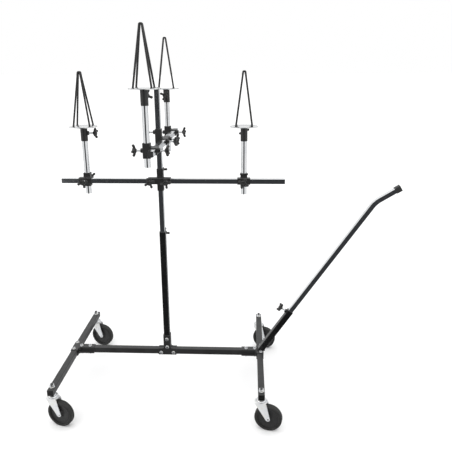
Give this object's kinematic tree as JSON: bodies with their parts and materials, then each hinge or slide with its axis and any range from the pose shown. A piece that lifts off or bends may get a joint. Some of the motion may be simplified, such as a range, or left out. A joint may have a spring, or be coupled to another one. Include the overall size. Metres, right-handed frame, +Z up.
{
  "type": "wheel rim painting stand",
  "caption": "Mobile stand on swivel casters with a telescopic mast, sliding cross bars and cone-topped rim holders, and a towing handle.",
  "frame": {"origin": "bottom centre of the bounding box, on the floor", "axes": "+Z up; +X towards the towing handle; +Y towards the side that the mast knob faces"},
  "size_m": [1.5382, 0.7554, 1.653],
  "materials": {
    "black_powder_coat": "satin powder coat",
    "chrome_plate": "bright chrome plate",
    "zinc_plate": "bright zinc plate",
    "black_plastic": "moulded, slightly glossy",
    "wheel_rubber": "matt moulded rubber"
  },
  "bodies": {
    "root": {"side_legs": "black_powder_coat", "cross_beam": "black_powder_coat", "mast_outer_tube": "black_powder_coat", "leg_end_caps": "black_plastic", "tee_brackets": "black_powder_coat", "bracket_bolts": "zinc_plate", "bracket_nuts": "zinc_plate", "caster_stems": "zinc_plate", "caster_nuts": "zinc_plate", "handle_sleeve": "black_powder_coat"},
    "mast_inner": {"mast_inner_tube": "chrome_plate"},
    "lower_fitting": {"lower_cross_fitting": "black_powder_coat"},
    "upper_fitting": {"upper_cross_fitting": "black_powder_coat"},
    "crossbar": {"crossbar": "chrome_plate", "crossbar_plugs": "black_plastic"},
    "depth_bar": {"depth_bar": "chrome_plate", "depth_bar_plugs": "black_plastic"},
    "handle_extension": {"handle_bar": "chrome_plate", "handle_cap": "black_plastic"},
    "left_clamp": {"left_clamp": "black_powder_coat"},
    "left_post": {"left_post": "chrome_plate"},
    "left_head": {"left_head": "black_powder_coat"},
    "right_clamp": {"right_clamp": "black_powder_coat"},
    "right_post": {"right_post": "chrome_plate"},
    "right_head": {"right_head": "black_powder_coat"},
    "front_clamp": {"front_clamp": "black_powder_coat"},
    "front_post": {"front_post": "chrome_plate"},
    "front_head": {"front_head": "black_powder_coat"},
    "rear_clamp": {"rear_clamp": "black_powder_coat"},
    "rear_post": {"rear_post": "chrome_plate"},
    "rear_head": {"rear_head": "black_powder_coat"},
    "caster_front_left": {"caster_fork_front_left": "zinc_plate"},
    "wheel_front_left": {"caster_wheel_front_left": "wheel_rubber"},
    "caster_front_right": {"caster_fork_front_right": "zinc_plate"},
    "wheel_front_right": {"caster_wheel_front_right": "wheel_rubber"},
    "caster_rear_left": {"caster_fork_rear_left": "zinc_plate"},
    "wheel_rear_left": {"caster_wheel_rear_left": "wheel_rubber"},
    "caster_rear_right": {"caster_fork_rear_right": "zinc_plate"},
    "wheel_rear_right": {"caster_wheel_rear_right": "wheel_rubber"},
    "mast_knob": {"mast_knob": "black_plastic"},
    "lower_fitting_knob_left": {"lower_fitting_knob_left": "black_plastic"},
    "lower_fitting_knob_right": {"lower_fitting_knob_right": "black_plastic"},
    "lower_fitting_knob_mast": {"lower_fitting_knob_mast": "black_plastic"},
    "upper_fitting_knob_front": {"upper_fitting_knob_front": "black_plastic"},
    "upper_fitting_knob_rear": {"upper_fitting_knob_rear": "black_plastic"},
    "upper_fitting_knob_mast": {"upper_fitting_knob_mast": "black_plastic"},
    "handle_knob": {"handle_knob": "black_plastic"},
    "left_bar_knob": {"left_bar_knob": "black_plastic"},
    "left_post_knob": {"left_post_knob": "black_plastic"},
    "left_head_knob": {"left_head_knob": "black_plastic"},
    "right_bar_knob": {"right_bar_knob": "black_plastic"},
    "right_post_knob": {"right_post_knob": "black_plastic"},
    "right_head_knob": {"right_head_knob": "black_plastic"},
    "front_bar_knob": {"front_bar_knob": "black_plastic"},
    "front_post_knob": {"front_post_knob": "black_plastic"},
    "front_head_knob": {"front_head_knob": "black_plastic"},
    "rear_bar_knob": {"rear_bar_knob": "black_plastic"},
    "rear_post_knob": {"rear_post_knob": "black_plastic"},
    "rear_head_knob": {"rear_head_knob": "black_plastic"}
  },
  "joints": [
    {"name": "mast_height", "type": "slide", "parent": "root", "child": "mast_inner", "axis": [0, 0, 1], "range_m": [-0.145, 0.12]},
    {"name": "lower_fitting_height", "type": "slide", "parent": "mast_inner", "child": "lower_fitting", "axis": [0, 0, 1], "range_m": [-0.045, 0.03]},
    {"name": "upper_fitting_height", "type": "slide", "parent": "mast_inner", "child": "upper_fitting", "axis": [0, 0, 1], "range_m": [-0.03, 0.13]},
    {"name": "crossbar_slide", "type": "slide", "parent": "lower_fitting", "child": "crossbar", "axis": [1, 0, 0], "range_m": [-0.08, 0.08]},
    {"name": "depth_bar_slide", "type": "slide", "parent": "upper_fitting", "child": "depth_bar", "axis": [0, 1, 0], "range_m": [-0.06, 0.06]},
    {"name": "handle_length", "type": "slide", "parent": "root", "child": "handle_extension", "axis": [0.5548, 0, 0.832], "range_m": [-0.1, 0.06]},
    {"name": "left_clamp_slide", "type": "slide", "parent": "crossbar", "child": "left_clamp", "axis": [1, 0, 0], "range_m": [-0.06, 0.08]},
    {"name": "left_post_height", "type": "slide", "parent": "left_clamp", "child": "left_post", "axis": [0, 0, 1], "range_m": [-0.12, 0.03]},
    {"name": "left_head_turn", "type": "hinge", "parent": "left_post", "child": "left_head", "pos_m": [-0.61478, 0.0057, 1.3], "axis": [0, 0, 1], "continuous": true},
    {"name": "right_clamp_slide", "type": "slide", "parent": "crossbar", "child": "right_clamp", "axis": [1, 0, 0], "range_m": [-0.08, 0.12]},
    {"name": "right_post_height", "type": "slide", "parent": "right_clamp", "child": "right_post", "axis": [0, 0, 1], "range_m": [-0.12, 0.03]},
    {"name": "right_head_turn", "type": "hinge", "parent": "right_post", "child": "right_head", "pos_m": [0.07822, 0.0057, 1.3], "axis": [0, 0, 1], "continuous": true},
    {"name": "front_clamp_slide", "type": "slide", "parent": "depth_bar", "child": "front_clamp", "axis": [0, 1, 0], "range_m": [-0.045, 0.08]},
    {"name": "front_post_height", "type": "slide", "parent": "front_clamp", "child": "front_post", "axis": [0, 0, 1], "range_m": [-0.12, 0.03]},
    {"name": "front_head_turn", "type": "hinge", "parent": "front_post", "child": "front_head", "pos_m": [-0.29078, -0.2703, 1.3], "axis": [0, 0, 1], "continuous": true},
    {"name": "rear_clamp_slide", "type": "slide", "parent": "depth_bar", "child": "rear_clamp", "axis": [0, 1, 0], "range_m": [-0.08, 0.035]},
    {"name": "rear_post_height", "type": "slide", "parent": "rear_clamp", "child": "rear_post", "axis": [0, 0, 1], "range_m": [-0.1, 0.05]},
    {"name": "rear_head_turn", "type": "hinge", "parent": "rear_post", "child": "rear_head", "pos_m": [-0.29078, 0.2797, 1.3], "axis": [0, 0, 1], "continuous": true},
    {"name": "caster_swivel_front_left", "type": "hinge", "parent": "root", "child": "caster_front_left", "pos_m": [-0.73978, -0.3403, 0.138], "axis": [0, 0, 1], "continuous": true},
    {"name": "wheel_spin_front_left", "type": "hinge", "parent": "caster_front_left", "child": "wheel_front_left", "pos_m": [-0.70901, -0.34912, 0.06], "axis": [0.2756, 0.9613, 0], "continuous": true},
    {"name": "caster_swivel_front_right", "type": "hinge", "parent": "root", "child": "caster_front_right", "pos_m": [0.16022, -0.3403, 0.138], "axis": [0, 0, 1], "continuous": true},
    {"name": "wheel_spin_front_right", "type": "hinge", "parent": "caster_front_right", "child": "wheel_front_right", "pos_m": [0.1914, -0.3475, 0.06], "axis": [0.225, 0.9744, 0], "continuous": true},
    {"name": "caster_swivel_rear_left", "type": "hinge", "parent": "root", "child": "caster_rear_left", "pos_m": [-0.73978, 0.3497, 0.138], "axis": [0, 0, 1], "continuous": true},
    {"name": "wheel_spin_rear_left", "type": "hinge", "parent": "caster_rear_left", "child": "wheel_rear_left", "pos_m": [-0.70887, 0.34142, 0.06], "axis": [0.2588, 0.9659, 0], "continuous": true},
    {"name": "caster_swivel_rear_right", "type": "hinge", "parent": "root", "child": "caster_rear_right", "pos_m": [0.16022, 0.3497, 0.138], "axis": [0, 0, 1], "continuous": true},
    {"name": "wheel_spin_rear_right", "type": "hinge", "parent": "caster_rear_right", "child": "wheel_rear_right", "pos_m": [0.19113, 0.34142, 0.06], "axis": [0.2588, 0.9659, 0], "continuous": true},
    {"name": "mast_knob_turn", "type": "hinge", "parent": "root", "child": "mast_knob", "pos_m": [-0.28978, 0.0047, 0.758], "axis": [0, 1, 0], "range_deg": [0, 360]},
    {"name": "lower_fitting_knob_left_turn", "type": "hinge", "parent": "lower_fitting", "child": "lower_fitting_knob_left", "pos_m": [-0.32478, -0.0233, 1.021], "axis": [0, -1, 0], "range_deg": [0, 360]},
    {"name": "lower_fitting_knob_right_turn", "type": "hinge", "parent": "lower_fitting", "child": "lower_fitting_knob_right", "pos_m": [-0.25478, -0.0233, 1.021], "axis": [0, -1, 0], "range_deg": [0, 360]},
    {"name": "lower_fitting_knob_mast_turn", "type": "hinge", "parent": "lower_fitting", "child": "lower_fitting_knob_mast", "pos_m": [-0.28978, 0.0047, 1.056], "axis": [0, 1, 0], "range_deg": [0, 360]},
    {"name": "upper_fitting_knob_front_turn", "type": "hinge", "parent": "upper_fitting", "child": "upper_fitting_knob_front", "pos_m": [-0.26178, -0.0303, 1.193], "axis": [1, 0, 0], "range_deg": [0, 360]},
    {"name": "upper_fitting_knob_rear_turn", "type": "hinge", "parent": "upper_fitting", "child": "upper_fitting_knob_rear", "pos_m": [-0.26178, 0.0397, 1.193], "axis": [1, 0, 0], "range_deg": [0, 360]},
    {"name": "upper_fitting_knob_mast_turn", "type": "hinge", "parent": "upper_fitting", "child": "upper_fitting_knob_mast", "pos_m": [-0.28978, 0.0047, 1.228], "axis": [-1, 0, 0], "range_deg": [0, 360]},
    {"name": "handle_knob_turn", "type": "hinge", "parent": "root", "child": "handle_knob", "pos_m": [0.2945, 0.0047, 0.37934], "axis": [-0.832, 0, 0.5548], "range_deg": [0, 360]},
    {"name": "left_bar_knob_turn", "type": "hinge", "parent": "left_clamp", "child": "left_bar_knob", "pos_m": [-0.61478, -0.0233, 1.021], "axis": [0, -1, 0], "range_deg": [0, 360]},
    {"name": "left_post_knob_turn", "type": "hinge", "parent": "left_clamp", "child": "left_post_knob", "pos_m": [-0.61478, 0.0057, 1.021], "axis": [0, 1, 0], "range_deg": [0, 360]},
    {"name": "left_head_knob_turn", "type": "hinge", "parent": "left_head", "child": "left_head_knob", "pos_m": [-0.61478, 0.0057, 1.224], "axis": [1, 0, 0], "range_deg": [0, 360]},
    {"name": "right_bar_knob_turn", "type": "hinge", "parent": "right_clamp", "child": "right_bar_knob", "pos_m": [0.07822, -0.0233, 1.021], "axis": [0, -1, 0], "range_deg": [0, 360]},
    {"name": "right_post_knob_turn", "type": "hinge", "parent": "right_clamp", "child": "right_post_knob", "pos_m": [0.07822, 0.0057, 1.021], "axis": [0, 1, 0], "range_deg": [0, 360]},
    {"name": "right_head_knob_turn", "type": "hinge", "parent": "right_head", "child": "right_head_knob", "pos_m": [0.07822, 0.0057, 1.224], "axis": [0, 1, 0], "range_deg": [0, 360]},
    {"name": "front_bar_knob_turn", "type": "hinge", "parent": "front_clamp", "child": "front_bar_knob", "pos_m": [-0.26178, -0.2703, 1.193], "axis": [1, 0, 0], "range_deg": [0, 360]},
    {"name": "front_post_knob_turn", "type": "hinge", "parent": "front_clamp", "child": "front_post_knob", "pos_m": [-0.29078, -0.2703, 1.193], "axis": [-1, 0, 0], "range_deg": [0, 360]},
    {"name": "front_head_knob_turn", "type": "hinge", "parent": "front_head", "child": "front_head_knob", "pos_m": [-0.29078, -0.2703, 1.395], "axis": [0, 1, 0], "range_deg": [0, 360]},
    {"name": "rear_bar_knob_turn", "type": "hinge", "parent": "rear_clamp", "child": "rear_bar_knob", "pos_m": [-0.26178, 0.2797, 1.193], "axis": [1, 0, 0], "range_deg": [0, 360]},
    {"name": "rear_post_knob_turn", "type": "hinge", "parent": "rear_clamp", "child": "rear_post_knob", "pos_m": [-0.29078, 0.2797, 1.193], "axis": [-1, 0, 0], "range_deg": [0, 360]},
    {"name": "rear_head_knob_turn", "type": "hinge", "parent": "rear_head", "child": "rear_head_knob", "pos_m": [-0.29078, 0.2797, 1.368], "axis": [0, -1, 0], "range_deg": [0, 360]}
  ]
}
